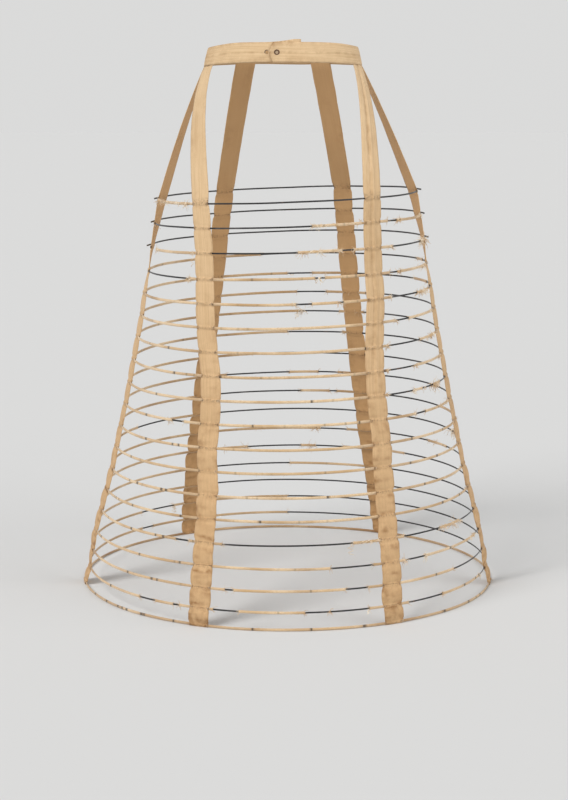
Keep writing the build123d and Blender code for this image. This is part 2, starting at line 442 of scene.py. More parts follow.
threadShape = {
    "floorGap": 0.0002,  # left under a thread that hangs to the floor
    "taper": 0.55,  # a loose end loses this share of its thickness
    "knotFlat": 0.85,
    "knotBulge": 0.35,
    "knotGrain": (1400, 900),  # on a knot, and from knot to knot
}


def nearTo(value, middle, reach):
    # 1 at the middle, fading to 0 over about twice the reach
    return math.exp(-((value - middle) / reach) ** 2)


def newPiece(name, bm, material):
    bmesh.ops.recalc_face_normals(bm, faces=bm.faces)
    mesh = bpy.data.meshes.new(name)
    bm.to_mesh(mesh)
    bm.free()
    piece = bpy.data.objects.new(name, mesh)
    bpy.context.scene.collection.objects.link(piece)
    mesh.materials.append(material)
    for face in mesh.polygons:
        face.use_smooth = True
    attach(piece, "root")
    return piece


def clothMesh(*marks):
    bm = bmesh.new()
    layers = {name: bm.verts.layers.float.new(name) for name in marks}
    layers["weave"] = bm.loops.layers.uv.new("weave")
    return bm, layers


def addWoven(bm, layers, corners, spots):
    # a face whose corners have their places in the weave
    face = bm.faces.new(corners)
    for loop, spot in zip(face.loops, spots):
        loop[layers["weave"]].uv = spot


def addTube(bm, layers, points, radii, sides, soil=0.0):
    # a thread: rings round a path, closed at both ends
    rings = []
    for index, point in enumerate(points):
        point.z = max(point.z, radii[index] + threadShape["floorGap"])
        ahead = points[min(index + 1, len(points) - 1)]
        behind = points[max(index - 1, 0)]
        along = (ahead - behind).normalized()
        if rings:
            aside = (aside - along * aside.dot(along)).normalized()
        else:
            aside = along.orthogonal().normalized()
        over = along.cross(aside)
        ring = []
        for side in range(sides):
            turn = 2 * math.pi * side / sides
            vertex = bm.verts.new(point + (aside * math.cos(turn) + over * math.sin(turn)) * radii[index])
            vertex[layers["soil"]] = soil
            ring.append(vertex)
        rings.append(ring)
    for first, second in zip(rings, rings[1:]):
        for side in range(sides):
            after = (side + 1) % sides
            bm.faces.new((first[side], first[after], second[after], second[side]))
    bm.faces.new(rings[0])
    bm.faces.new(rings[-1])


def addEvenTube(bm, layers, points, radius, sides, soil=0.0):
    addTube(bm, layers, points, [radius] * len(points), sides, soil)


def addThread(bm, layers, start, direction, length, radius, curl, droop=0.15, soil=0.0, bends=5):
    points = [start.copy()]
    heading = direction.normalized()
    for _ in range(bends):
        stray = Vector((dice.gauss(0, 1), dice.gauss(0, 1), dice.gauss(0, 1) - droop))
        heading = (heading + stray * curl).normalized()
        points.append(points[-1] + heading * length / bends)
    radii = [radius * (1 - threadShape["taper"] * index / bends) for index in range(bends + 1)]
    addTube(bm, layers, points, radii, 4, soil)


def addKnot(bm, layers, place, radius, soil):
    # a small knot of matted thread
    made = bmesh.ops.create_icosphere(bm, subdivisions=2, radius=radius)
    onKnot, betweenKnots = threadShape["knotGrain"]
    for vertex in made["verts"]:
        bulge = 1 + threadShape["knotBulge"] * noise.noise(vertex.co * onKnot + place * betweenKnots)
        flat = Vector((vertex.co.x, vertex.co.y, vertex.co.z * threadShape["knotFlat"]))
        vertex.co = place + flat * bulge
        vertex[layers["soil"]] = soil


# Steel hoops

steelStrip = {
    "width": 0.0024,
    "thickness": 0.0005,
    "step": 0.004,
    "lapRise": 0.0029,  # a back length lies this far above the front one
    "sprungEnds": 0.0075,  # its free ends stand this far out of the round
    "sprungSpan": 15,  # over this many degrees
    "edge": 0.00012,
    "bevelOver": 50,  # degrees
    "smoothUnder": 35,
    "lengths": {  # start and end angle, and 1 where it is a back length
        1: [(-97, 97, 0), (84, 276, 1)],
        2: [(-97, 97, 0), (84, 277, 1)],
        3: [(-71, 97, 0), (85, 276, 1)],
    },
    "ring": [(-180, 180, 0)],
}


def layOnHoop(strip, number, start, end, rise):
    # the circle's points go to their places on the hoop, the first and last apart unless it is closed
    span = end - start
    count = len(strip.data.vertices)
    for vertex in strip.data.vertices:
        angle = start + span * vertex.index / (count if span >= 360 else count - 1)
        toEnd = min(angle - start, end - angle)
        spring = max(0.0, 1 - toEnd / steelStrip["sprungSpan"]) ** 2 if rise else 0.0
        sprung = steelStrip["sprungEnds"] * spring
        vertex.co = hoopPoint(number, angle, sprung, rise - steelStrip["width"] / 2)
    for edge in strip.data.edges:
        edge.select = span < 360 and set(edge.vertices) == {0, count - 1}


def makeSteelStrip(number, start, end, rise):
    count = round(hoopRun(number, end - start) / steelStrip["step"])
    bpy.ops.object.select_all(action="DESELECT")
    bpy.ops.mesh.primitive_circle_add(vertices=count, radius=hoops[number]["halfWidth"])
    strip = bpy.context.object
    layOnHoop(strip, number, start, end, rise)
    bpy.context.tool_settings.mesh_select_mode = (False, True, False)
    bpy.ops.object.mode_set(mode="EDIT")
    if end - start < 360:
        bpy.ops.mesh.delete(type="EDGE_FACE")
    bpy.ops.mesh.select_all(action="SELECT")
    bpy.ops.mesh.extrude_region_move(TRANSFORM_OT_translate={"value": (0, 0, steelStrip["width"])})
    bpy.ops.mesh.select_all(action="SELECT")
    bpy.ops.mesh.normals_make_consistent(inside=False)
    bpy.ops.object.mode_set(mode="OBJECT")
    wall = strip.modifiers.new("wall", "SOLIDIFY")
    wall.thickness = steelStrip["thickness"]
    wall.offset = 0
    bpy.ops.object.modifier_apply(modifier="wall")
    edges = strip.modifiers.new("edges", "BEVEL")
    edges.width = steelStrip["edge"]
    edges.segments = 1
    edges.angle_limit = math.radians(steelStrip["bevelOver"])
    bpy.ops.object.modifier_apply(modifier="edges")
    return strip


def makeSteelHoops(material):
    print("steel hoops")
    for number in hoops:
        strips = []
        for start, end, lap in steelStrip["lengths"].get(number, steelStrip["ring"]):
            strips.append(makeSteelStrip(number, start, end, lap * steelStrip["lapRise"]))
        bpy.ops.object.select_all(action="DESELECT")
        for strip in strips:
            strip.select_set(True)
        hoop = strips[0]
        bpy.context.view_layer.objects.active = hoop
        if len(strips) > 1:
            bpy.ops.object.join()
        bpy.ops.object.transform_apply(location=True, rotation=True, scale=True)
        bpy.ops.object.shade_smooth_by_angle(angle=math.radians(steelStrip["smoothUnder"]))
        hoop.name = f"steelHoop_{number:02d}"
        hoop.data.materials.append(material)
        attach(hoop, "root")
        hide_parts(f"steel_hoop_{number:02d}")


# Braided covers: what is left of the sleeve on each hoop, as start and end angles

sleeve = {
    "halfHeight": 0.00205,
    "halfThickness": 0.00098,
    "sides": 12,
    "squareness": 0.8,
    "step": 0.0024,
    "strands": 8,
    "girth": 0.75,  # of a circle as high as the sleeve
    "swell": 0.1,
    "swellGrain": 160,
    "raggedSwell": 0.4,
    "endSwell": 0.22,
    "endSwellReach": 0.002,
    "pressed": 0.82,  # its thickness inside a tape
    "ripple": 0.05,
    "rippleGrain": 700,
    "stretches": {
        1: [(-91, -41)],
        2: [(10, 46), (55, 91)],
        3: [(-71, -38), (4, 22), (27, 47), (73, 87)],
        4: [(-168, -87), (-42, 10.5), (14.5, 44), (51, 77), (99, 106)],
        5: [(-180, 3), (9, 19), (21.5, 43), (61, 73), (99, 113), (151, 169)],
        6: [(-184, 44), (52.5, 78), (145, 163)],
        7: [(-185, 39), (58, 79), (147, 158)],
        8: [(-180, 37.5), (53, 78), (152, 157)],
        9: [(-166, 36), (49.5, 54), (64, 69)],
        10: [(-156, -42), (-36.5, 48), (54, 77), (148, 160), (168, 179)],
        11: [(-152, 109), (147, 161), (164, 175)],
        12: [(-149, -132), (-114, 98)],
        13: [(-192, 75), (110, 122), (147, 158)],
        14: [(-166, 76), (136, 160), (170, 175)],
        15: [(-150, -33.5), (-29, -18.6), (18.6, 35), (50, 61), (147, 179)],
        16: [(-151, 11.5), (24, 34), (42, 71)],
        17: [(-180, -141), (-127, -17), (-14.5, 15.5), (22, 53)],
        18: [(-180, -133), (-128, -44), (-38, -32), (-30, -20), (-12.9, 4.4), (22, 34), (47, 70)],
        19: [(-180, 180)],
    },
    "shredded": {
        1: [(-91, -44)],
        2: [(10, 34), (80, 91)],
        3: [(4, 22), (73, 87)],
        5: [(61, 73)],
        9: [(49.5, 54), (64, 69)],
        15: [(18.6, 26), (50, 61)],
        16: [(62, 71)],
        18: [(-2, 4.4)],
    },
    "wear": {  # how much it is soiled, with painted shade on the back half and on the inner side, then dark specks and spots
        "everywhere": 0.04,
        "patches": 0.45,
        "patchGrain": 22,
        # painted shade: the back half, seen from inside the cage, is browned
        "behind": 0.12,
        # the inner side is browned: cloth less bleached there, and painted shade
        "inside": 0.2,
        "lowHoops": 0.08,
        "lowFrom": 17,  # the hoop from which it counts
        "hem": 0.14,
        "byTapes": 0.3,
        "byTapesFrom": 12,  # the hoop from which it counts in full
        "byTapesReach": 0.042,
        "specks": 2.6,
        "speckLeast": 1.25,
        "speckGrain": 330,
        "markDepth": 1.6,
        "markReach": 0.0016,
    },
    "marks": {  # the angles of dark spots
        4: [38],
        6: [31],
        7: [-49, 29],
        8: [-44, 36, -24],
        9: [-52, 8],
        10: [-56, 24],
        11: [-53.5, -40, -37.4, 44, 63],
        12: [42, 56, -61],
        13: [47, -54, -42, -40, 12],
        14: [54, 66, -54, -33, -8],
        15: [-52, -41, -38, 31],
        16: [53, -70, -46, -31],
        17: [45, -50, -40, -38, -16],
        18: [58, 66, 69, -58],
        19: [-66, -58, -52, -50, -48, -42, -41, -31, -25, -9, 6, 20, 31, 46, 58, 66, 74, 84],
    },
}


def fromTape(number, angle):
    # degrees along the hoop to the middle of the nearest tape
    return min(abs((angle - crossings[tape][number] + 180) % 360 - 180) for tape in tapeNames)


def underTape(number, angle, margin=0.0):
    reach = math.degrees(tapeCloth["halfWidth"] / hoops[number]["halfWidth"])
    return fromTape(number, angle) < reach + margin


def wearAndShadeOfSleeve(number, angle, place):
    # how soiled a sleeve is at one place, with painted shade that grows towards the back, and how dark a
    # spot it has there
    wear = sleeve["wear"]
    patch = noise.noise(place * wear["patchGrain"] + Vector((0, 0, number)))
    soil = wear["everywhere"] + wear["patches"] * patch
    # painted shade, browner towards the back
    soil += wear["behind"] * max(0.0, -math.cos(math.radians(angle)))
    soil += wear["lowHoops"] * (number >= wear["lowFrom"])
    soil += wear["hem"] * (number == hoopCount)
    beside = nearTo(hoopRun(number, fromTape(number, angle)), 0, wear["byTapesReach"])
    soil += wear["byTapes"] * min(1.0, number / wear["byTapesFrom"]) * beside
    speck = noise.noise(place * wear["speckGrain"] + Vector((number, 0, 0)))
    dark = max(0.0, wear["specks"] * speck - wear["speckLeast"])
    for mark in sleeve["marks"].get(number, []):
        away = hoopRun(number, abs(angle - mark)) / wear["markReach"]
        dark = max(dark, wear["markDepth"] - away)
    return soil, dark


def addSleeveRing(bm, layers, number, angle, toEnd):
    place = hoopPoint(number, angle)
    out = outwardsAt(angle)
    seed = place * sleeve["swellGrain"]
    swell = 1 + sleeve["swell"] * noise.noise(seed)
    if any(low <= angle <= high for low, high in sleeve["shredded"].get(number, [])):
        swell += sleeve["raggedSwell"] * noise.noise(seed * 3)
    if toEnd is not None:
        swell *= 1 + sleeve["endSwell"] * math.exp(-toEnd / sleeve["endSwellReach"])
    pressed = sleeve["pressed"] if underTape(number, angle) else 1.0
    soil, dark = wearAndShadeOfSleeve(number, angle, place)
    ring = []
    for side in range(sleeve["sides"]):
        turn = 2 * math.pi * side / sleeve["sides"]
        ripple = 1 + sleeve["ripple"] * noise.noise(place * sleeve["rippleGrain"] + Vector((side, 0, 0)))
        bulge = math.copysign(abs(math.cos(turn)) ** sleeve["squareness"], math.cos(turn))
        wide = bulge * sleeve["halfThickness"] * pressed * ripple * swell
        tall = math.sin(turn) * sleeve["halfHeight"] * ripple * (0.5 + 0.5 * swell)
        vertex = bm.verts.new(place + out * wide + Vector((0, 0, tall)))
        # the inner side: less bleached cloth, and painted shade
        inside = sleeve["wear"]["inside"] if math.cos(turn) < -0.1 else 0.0
        vertex[layers["soil"]] = min(1.0, max(0.0, soil + inside))
        vertex[layers["mark"]] = min(1.0, max(0.0, dark))
        ring.append(vertex)
    return ring


def addSleeve(bm, layers, number, start, end):
    closed = end - start >= 360
    count = max(4, math.ceil(hoopRun(number, end - start) / sleeve["step"]))
    rings = []
    for index in range(count if closed else count + 1):
        toEnd = None if closed else min(index, count - index) * sleeve["step"]
        rings.append(addSleeveRing(bm, layers, number, start + (end - start) * index / count, toEnd))
    sides = sleeve["sides"]
    around = 2 * math.pi * sleeve["halfHeight"] * sleeve["girth"]
    perStep = sleeve["step"] / around * sleeve["strands"]
    pairs = list(zip(rings, rings[1:]))
    if closed:
        pairs.append((rings[-1], rings[0]))
    for index, (first, second) in enumerate(pairs):
        for side in range(sides):
            after = (side + 1) % sides
            places = ((side, index), (side + 1, index), (side + 1, index + 1), (side, index + 1))
            spots = [(strand / sides * sleeve["strands"], ahead * perStep) for strand, ahead in places]
            addWoven(bm, layers, (first[side], first[after], second[after], second[side]), spots)
    if not closed:
        bm.faces.new(rings[0])
        bm.faces.new(rings[-1])


def makeCovers(material):
    print("braided covers")
    for number, stretches in sleeve["stretches"].items():
        bm, layers = clothMesh("soil", "mark")
        for start, end in stretches:
            addSleeve(bm, layers, number, start, end)
        cover = newPiece(f"braidedCover_{number:02d}", bm, material)
        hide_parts(f"hoop_cover_{number:02d}")


# Frayed ends, knots and loose threads

fray = {
    "radius": 0.00034,
    "thickness": {"hair": 0.55, "wanderer": 1.3, "loop": 1.6, "hanging": 1.15},  # of that radius
    "endThreads": 8,
    "endReach": (0.0035, 0.009),
    "endTapeGap": 0.6,  # degrees past a tape's edge in which no end frays
    "hairGap": 0.012,
    "hairReach": (0.0018, 0.0045),
    "hairTapeGap": 1.0,
    "shredsPerDegree": 1.4,
    "shredReach": (0.003, 0.006),
    "wanderers": 3,  # to a shredded stretch
    "wandererSwing": 0.0017,
    "tuftLean": (1.1, 0.4),  # pull along the hoop and outwards
    "tuftReach": (0.6, 1.6),  # shares of the reach below
    "tuftThickness": (0.9, 1.5),
    "tuftSoilAndBackShade": (0.08, 0.3),  # in front, and behind, where painted shade is added to the soiling
    "knotSize": 1.15,
    "tufts": {  # angle, how many threads, how far they reach in mm, size of the knot in mm
        1: [(-49, 18, 8, 2.2), (-56, 10, 6, 1.6), (-66, 12, 7, 1.4), (-78, 14, 7, 1.7), (-87, 14, 8, 1.5)],
        2: [(12, 10, 9, 1.2), (20, 8, 6, 1.4), (31, 12, 7, 1.6), (53, 24, 7, 2.2), (-88, 18, 7, 2.2),
            (84, 10, 6, 1.4)],
        3: [(6, 14, 9, 1.5), (13, 14, 8, 1.6), (20, 14, 9, 1.4), (46, 12, 7, 1.4), (74, 26, 9, 2.2),
            (80, 30, 11, 2.6), (86, 18, 8, 2.0), (-41, 12, 5, 1.8), (-68, 8, 6, 1.5)],
        4: [(12, 14, 7, 1.4), (49.5, 18, 7, 1.8), (72, 18, 9, 1.7), (75, 12, 8, 1.5), (-41, 12, 8, 1.3)],
        5: [(2.5, 8, 6, 0.8), (19.5, 8, 6, 0.8), (43, 14, 6, 1.2), (64, 26, 9, 1.8), (69, 24, 9, 1.8),
            (163, 10, 6, 1.0)],
        6: [(44.5, 14, 6, 1.2), (53, 6, 4, 0.8), (72.5, 10, 4, 1.7), (152, 8, 6, 0.9)],
        7: [(38.5, 14, 6, 1.2), (68, 22, 7, 1.8), (72, 20, 6, 2.0), (174, 26, 12, 1.4), (150, 10, 6, 1.0)],
        8: [(37.5, 8, 5, 1.1), (52, 12, 7, 1.2), (74.5, 12, 5, 1.7), (157, 8, 6, 1.0)],
        9: [(36, 8, 5, 1.0), (49, 8, 6, 0.9), (63, 30, 11, 1.8), (66, 14, 9, 0.8)],
        10: [(48, 6, 4, 1.1), (74, 12, 5, 1.9), (158, 8, 5, 1.0)],
        11: [(85, 12, 7, 1.0), (-152, 8, 5, 0.8)],
        12: [(69, 10, 4, 1.5), (101, 20, 12, 1.6), (-132, 14, 8, 1.4)],
        13: [(118, 10, 7, 1.2), (170, 14, 9, 1.3), (-170, 10, 7, 1.2)],
        14: [(-165, 16, 10, 1.5), (-158, 10, 8, 1.1), (172, 16, 11, 1.4)],
        15: [(52, 16, 7, 1.3), (57, 24, 9, 1.8), (61, 12, 6, 1.2), (24, 12, 6, 1.5), (26.5, 14, 6, 1.8)],
        16: [(34, 20, 8, 1.3), (42, 18, 8, 1.2), (66, 14, 6, 1.0), (71, 12, 6, 1.0)],
        17: [(-141, 14, 9, 0.9), (22, 6, 4, 0.7)],
        18: [(11, 10, 6, 0.8), (47, 8, 5, 0.8), (70, 8, 5, 0.9)],
        19: [(83, 8, 5, 1.0), (-60, 6, 4, 0.7)],
    },
    "loops": {9: [(49, 3.0), (56, 2.6)], 5: [(178, 2.6)], 4: [(-43, 3.2)]},  # angle, radius in mm
    "hanging": {  # angle, length and sway in mm
        3: [(-41.5, 20, 3)],
        7: [(176, 13, 4)],
        9: [(50, 7, 3), (64, 12, 4), (67, 9, 5)],
        12: [(100, 15, 5), (103, 11, 4), (-132.5, 10, 2)],
        15: [(17.8, 17, 5)],
        17: [(-141, 14, 6)],
        18: [(21.5, 8, 2)],
    },
}


def threadRadius(kind):
    return fray["radius"] * fray["thickness"][kind]


def addFrayedEnd(bm, layers, number, angle, away):
    if underTape(number, angle, fray["endTapeGap"]):
        return
    place = hoopPoint(number, angle)
    along = alongHoop(number, angle) * away
    out = outwardsAt(angle)
    for strand in range(fray["endThreads"]):
        turn = 2 * math.pi * strand / fray["endThreads"] + dice.uniform(-0.3, 0.3)
        side = out * math.cos(turn) * 0.7 + Vector((0, 0, math.sin(turn) * 1.5))
        length = dice.uniform(*fray["endReach"])
        start = place + side * mm - along * mm
        lean = along + side * dice.uniform(0.2, 0.9)
        addThread(bm, layers, start, lean, length, fray["radius"], curl=0.35, droop=0.2, soil=0.25)


def addHairs(bm, layers, number, start, end):
    # short fibres that stand off a sleeve
    for _ in range(int(hoopRun(number, end - start) / fray["hairGap"])):
        angle = dice.uniform(start, end)
        if underTape(number, angle, fray["hairTapeGap"]):
            continue
        turn = dice.uniform(0, 2 * math.pi)
        side = outwardsAt(angle) * math.cos(turn) * 0.5 + Vector((0, 0, math.sin(turn)))
        place = hoopPoint(number, angle) + side * 1.5 * mm
        lean = side + alongHoop(number, angle) * dice.uniform(-1, 1)
        reach = dice.uniform(*fray["hairReach"])
        radius = threadRadius("hair")
        addThread(bm, layers, place, lean, reach, radius, curl=0.4, droop=0.1, soil=0.2, bends=3)


def addWanderer(bm, layers, number, start, end):
    # a strand that has come away and winds loosely round the strip
    count = max(6, int((end - start) * 1.6))
    points = []
    phase = dice.uniform(0, 6.3)
    for index in range(count + 1):
        angle = start + (end - start) * index / count
        phase += dice.uniform(0.5, 1.5)
        swing = fray["wandererSwing"] * dice.uniform(0.5, 1.2)
        place = hoopPoint(number, angle, outwards=math.cos(phase) * swing * 0.7)
        points.append(place + Vector((0, 0, math.sin(phase) * swing)))
    addEvenTube(bm, layers, points, threadRadius("wanderer"), 5, 0.1)


def addShreds(bm, layers, number, start, end):
    for _ in range(fray["wanderers"]):
        addWanderer(bm, layers, number, start, end)
    for _ in range(int((end - start) * fray["shredsPerDegree"])):
        angle = dice.uniform(start, end)
        lean = outwardsAt(angle) * 0.5 + alongHoop(number, angle) * dice.uniform(-1.5, 1.5)
        lean += Vector((0, 0, dice.uniform(-1, 1)))
        reach = dice.uniform(*fray["shredReach"])
        addThread(bm, layers, hoopPoint(number, angle), lean, reach, fray["radius"], curl=0.4)


def addTuft(bm, layers, number, angle, count, reach, knot):
    place = hoopPoint(number, angle)
    out = outwardsAt(angle)
    along = alongHoop(number, angle)
    # the tufts behind are browner: soiling and painted shade
    soil = fray["tuftSoilAndBackShade"][abs(angle) > 95]
    pullAlong, pullOut = fray["tuftLean"]
    addKnot(bm, layers, place + out * 0.4 * mm, knot * fray["knotSize"] * mm, soil)
    for _ in range(count):
        lean = Vector((dice.gauss(0, 1), dice.gauss(0, 1), dice.gauss(0, 1)))
        lean = lean + along * dice.choice((-1, 1)) * pullAlong + out * pullOut
        start = place + lean.normalized() * knot * 0.5 * mm
        length = reach * mm * dice.uniform(*fray["tuftReach"])
        radius = fray["radius"] * dice.uniform(*fray["tuftThickness"])
        addThread(bm, layers, start, lean, length, radius, curl=0.45, droop=0.5, soil=soil)


def addLoop(bm, layers, number, angle, radius):
    middle = hoopPoint(number, angle, outwards=0.001) - Vector((0, 0, radius * 0.5 * mm))
    along = alongHoop(number, angle)
    points = []
    for step in range(15):  # a little more than once round
        turn = 2 * math.pi * step / 13
        wide = along * math.cos(turn) * radius * mm
        points.append(middle + wide + Vector((0, 0, math.sin(turn) * radius * 0.8 * mm)))
    addEvenTube(bm, layers, points, threadRadius("loop"), 5, 0.05)


def addHanging(bm, layers, number, angle, length, sway):
    start = hoopPoint(number, angle, outwards=0.0012)
    along = alongHoop(number, angle)
    out = outwardsAt(angle)
    points = []
    for step in range(9):
        drop = Vector((0, 0, -length * mm * step / 8))
        side = along * sway * mm * math.sin(step * 1.9 + angle) * min(1.0, step / 3)
        points.append(start + drop + side + out * dice.uniform(-0.6, 1.2) * mm)
    addEvenTube(bm, layers, points, threadRadius("hanging"), 5)


def makeFraying(material):
    print("frayed ends and threads")
    for number, stretches in sleeve["stretches"].items():
        bm, layers = clothMesh("soil")
        closed = stretches[0][1] - stretches[0][0] >= 360
        for start, end in stretches:
            if not closed:
                addFrayedEnd(bm, layers, number, start, -1)
                addFrayedEnd(bm, layers, number, end, 1)
            addHairs(bm, layers, number, start, end)
        for start, end in sleeve["shredded"].get(number, []):
            addShreds(bm, layers, number, start, end)
        for angle, count, reach, knot in fray["tufts"].get(number, []):
            addTuft(bm, layers, number, angle, count, reach, knot)
        for angle, radius in fray["loops"].get(number, []):
            addLoop(bm, layers, number, angle, radius)
        for angle, length, sway in fray["hanging"].get(number, []):
            addHanging(bm, layers, number, angle, length, sway)
        threads = newPiece(f"looseThreads_{number:02d}", bm, material)


# Tapes

tapeCloth = {
    "halfWidth": 0.016,
    "halfThickness": 0.0007,
    "channelGap": 0.00095,  # half the opening round a hoop
    "channelReach": 0.0024,
    "columns": 12,
    "steps": (0, 0.032, 0.066, 0.1, 0.16, 0.25, 0.37, 0.5, 0.63, 0.75, 0.84, 0.9, 0.934, 0.968),
    "insideBand": 0.0015,  # from the band's middle line to the tape's outer face
    "bandHeights": (0.93, 0.6, 0.3, 0.0),  # where it is held inside the band
    "waistAngles": {
        "front_left": -72, "front_right": 72,
        "side_left": -98, "side_right": 98,
        "back_left": -150, "back_right": 150,
    },
    "hipSteps": 20,
    "hipBow": {
        "front_left": 0.013, "front_right": 0.008,
        "side_left": 0.004, "side_right": 0.003,
        "back_left": 0.002, "back_right": 0.002,
    },
    "billow": {"front": 0.0042, "side": 0.0016, "back": 0.004},  # in the lowest bays
    "leastBillow": 0.0003,
    "looseFrom": 6,  # the bays loosen from this hoop down
    "yaw": {"front": 6, "side": 10, "back": 9},  # degrees a low bay turns on itself
    "turnedTo": 5,  # topTurn is gone and lean is whole at this hoop
    "topTurn": {"side_left": -18, "side_right": 20},  # degrees at the top hoop
    "turnInwards": 0.8,
    "lean": {"side_left": 8, "side_right": -8},  # degrees
    "leanLost": 0.85,  # by the hem
    "bayTurn": {"side_left": 3, "side_right": -3},  # degrees more in the middle of a bay
    "hemFold": ((0.001, 0.85), (0.00175, 0.0), (0.00215, 0.0)),  # drop, share of the channel's gap
    "strays": {  # hoop and how far a tape stands to the wearer's left of its CAD place, in mm
        "front_left": (
            (1, 0), (3, 2.4), (4, 0.4), (6, -2), (8, 3.2), (9, 3),
            (11, -2.6), (14, -1.8), (18, -2), (19, 0.8),
        ),
        "front_right": (
            (1, -0.6), (3, -1.4), (5, 2.2), (7, -2.2), (9, -2.6), (11, 1.8), (14, 1.9), (17, 0.2), (19, 0),
        ),
    },
    "folds": {  # heights above the floor in metres, places across the tape from -1 to 1
        "looseUnder": 0.42,
        "crown": 0.0005,
        "waves": 0.0009,
        "grain": 0.00028,
        "puckers": (0.0009, 0.0045, 0.003),  # depth, distance to the hoop, reach
        "channelEdge": (0.0007, 0.0036, 0.0013),
        "lengthwise": {  # rise, place across, reach
            "front_left": ((0.0005, -0.35, 0.10), (-0.0004, 0.3, 0.08)),
            "front_right": ((0.0019, 0.1, 0.14), (-0.0013, -0.16, 0.11)),
        },
        "lengthwiseOver": {"front_right": 0.30},
        "lengthwiseFade": 0.04,
        "edgeWander": 0.0011,
        "pinch": (0.11, 0.0042),  # share of the width lost at a hoop, reach
        "slackWidth": 1.03,
        "widthWaver": 0.02,
        "channelLip": (0.0003, 0.0015),
        "thinEdge": 0.45,
    },
    "wear": {  # amounts of soiling, with the height or distance it reaches, and the inner face's share of a colour that is partly painted shade
        "low": (0.12, 0.5),
        "channel": (0.16, 0.0016),
        "hem": (0.35, 0.05),
        "hemLine": (0.5, 0.0125, 0.0012),  # amount, height, reach
        "patches": 0.3,
        "edges": 0.35,
        "creases": 1.7,
        "creaseLeast": 0.05,
        "groove": (0.4, -0.1, 0.1),  # amount, place across, reach
        "grooveOver": 0.34,
        "mark": 0.0022,
        # the inner face's share of the inside colour: less bleached cloth and painted shade
        "inside": 0.78,
    },
}
waist = {
    "halfWidth": 0.116,
    "halfDepth": 0.086,
    "shift": -0.007,
    "flare": 0.0032,
    "droop": {"left": (0.0045, 0.0075), "right": (0.0025, 0.0055)},  # at its sides, lower and upper edge
    "bottom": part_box("waistband")[0].z,
    "top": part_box("waistband")[1].z,
}


def waistPoint(angle, height, outwards=0.0):
    # height runs from 0 at the band's lower edge to 1 at its upper edge
    turn = math.radians(angle)
    spread = waist["flare"] * (1 - 2 * height) + outwards
    x = waist["shift"] + (waist["halfWidth"] + spread) * math.sin(turn)
    y = -(waist["halfDepth"] + spread) * math.cos(turn)
    low, high = waist["droop"]["left" if math.sin(turn) < 0 else "right"]
    droop = (low + (high - low) * height) * math.sin(turn) ** 4
    return Vector((x, y, waist["bottom"] + height * (waist["top"] - waist["bottom"]) - droop))


def waistAlong(angle):
    return (waistPoint(angle + 0.5, 0.5) - waistPoint(angle - 0.5, 0.5)).normalized()


def turnedBy(degrees, direction):
    return Matrix.Rotation(math.radians(degrees), 3, "Z") @ direction


def tapeHolds(tape):
    # at each hoop: the place of the tape's middle and the direction across it
    holds = {}
    turned = tapeCloth["turnedTo"]
    for number, angle in crossings[tape].items():
        share = max(0.0, turned - number) / (turned - 1)
        lost = tapeCloth["leanLost"] * max(0, number - turned) / (hoopCount - turned)
        turn = tapeCloth["topTurn"].get(tape, 0) * share
        turn += tapeCloth["lean"].get(tape, 0) * (1 - share) * (1 - lost)
        turnedOut = tapeCloth["halfWidth"] * abs(math.sin(math.radians(turn)))
        inwards = tapeCloth["turnInwards"] * share * turnedOut
        holds[number] = (hoopPoint(number, angle, -inwards), turnedBy(turn, alongHoop(number, angle)))
    return holds


def hipStations(tape, hold):
    # inside the band, then over the hip to the top hoop
    top = tapeCloth["waistAngles"][tape]
    inside = -(tapeCloth["insideBand"] + tapeCloth["halfThickness"])
    stations = []
    for height in tapeCloth["bandHeights"]:
        stations.append((waistPoint(top, height, inside), waistAlong(top), 0.0, 1.0, 0))
    start = stations[-1][0]
    first, firstAcross = hold
    for step in range(1, tapeCloth["hipSteps"]):
        share = step / tapeCloth["hipSteps"]
        ease = share ** 0.62 if tape.startswith("front") else share  # a front tape turns sooner
        across = waistAlong(top).lerp(firstAcross, ease * ease * (3 - 2 * ease)).normalized()
        aside = across.cross(Vector((0, 0, 1))).normalized()
        bow = tapeCloth["hipBow"][tape] * math.sin(math.pi * share ** 0.8)
        place = start.lerp(first, share) + aside * bow
        stations.append((place, across, 0.0, (1 - share) * (start - first).length, 0))
    return stations


def bayShape(tape, number):
    # how far a bay stands out, turns on itself and drifts aside
    part = tape.split("_")[0]
    loose = max(0.0, (number - tapeCloth["looseFrom"]) / (hoopCount - 1 - tapeCloth["looseFrom"]))
    billow = tapeCloth["billow"][part] * loose * dice.uniform(0.6, 1.2) + tapeCloth["leastBillow"]
    yaw = tapeCloth["yaw"][part] * loose * dice.choice((-1, 1)) * dice.uniform(0.4, 1)
    if tape in tapeCloth["bayTurn"]:
        yaw = yaw * 0.4 + tapeCloth["bayTurn"][tape] * dice.uniform(0.4, 1.3) * min(1.0, number / 5)
    drift = dice.uniform(-0.6, 0.6) * mm * (0.3 + 0.7 * loose)
    return billow, yaw, drift


def bayStations(tape, number, hold, nextHold):
    # from one hoop to the next, with the channel's halves at both ends
    billow, yaw, drift = bayShape(tape, number)
    here, hereAcross = hold
    there, thereAcross = nextHold
    out = outwardsAt(crossings[tape][number])
    stations = []
    for step in tapeCloth["steps"]:
        distance = min(step, 1 - step) * (there - here).length
        across = hereAcross.lerp(thereAcross, step)
        swell = math.sin(math.pi * step)
        puff = math.sin(math.pi * step ** 0.62) * step ** 0.1
        place = here.lerp(there, step) + out * billow * puff + across * drift * swell
        gap = 0.0
        if distance < tapeCloth["channelReach"] * 0.95:
            gap = tapeCloth["channelGap"] * math.sqrt(1 - (distance / tapeCloth["channelReach"]) ** 2)
        stations.append((place, turnedBy(yaw * swell, across.normalized()), gap, distance, number))
    return stations


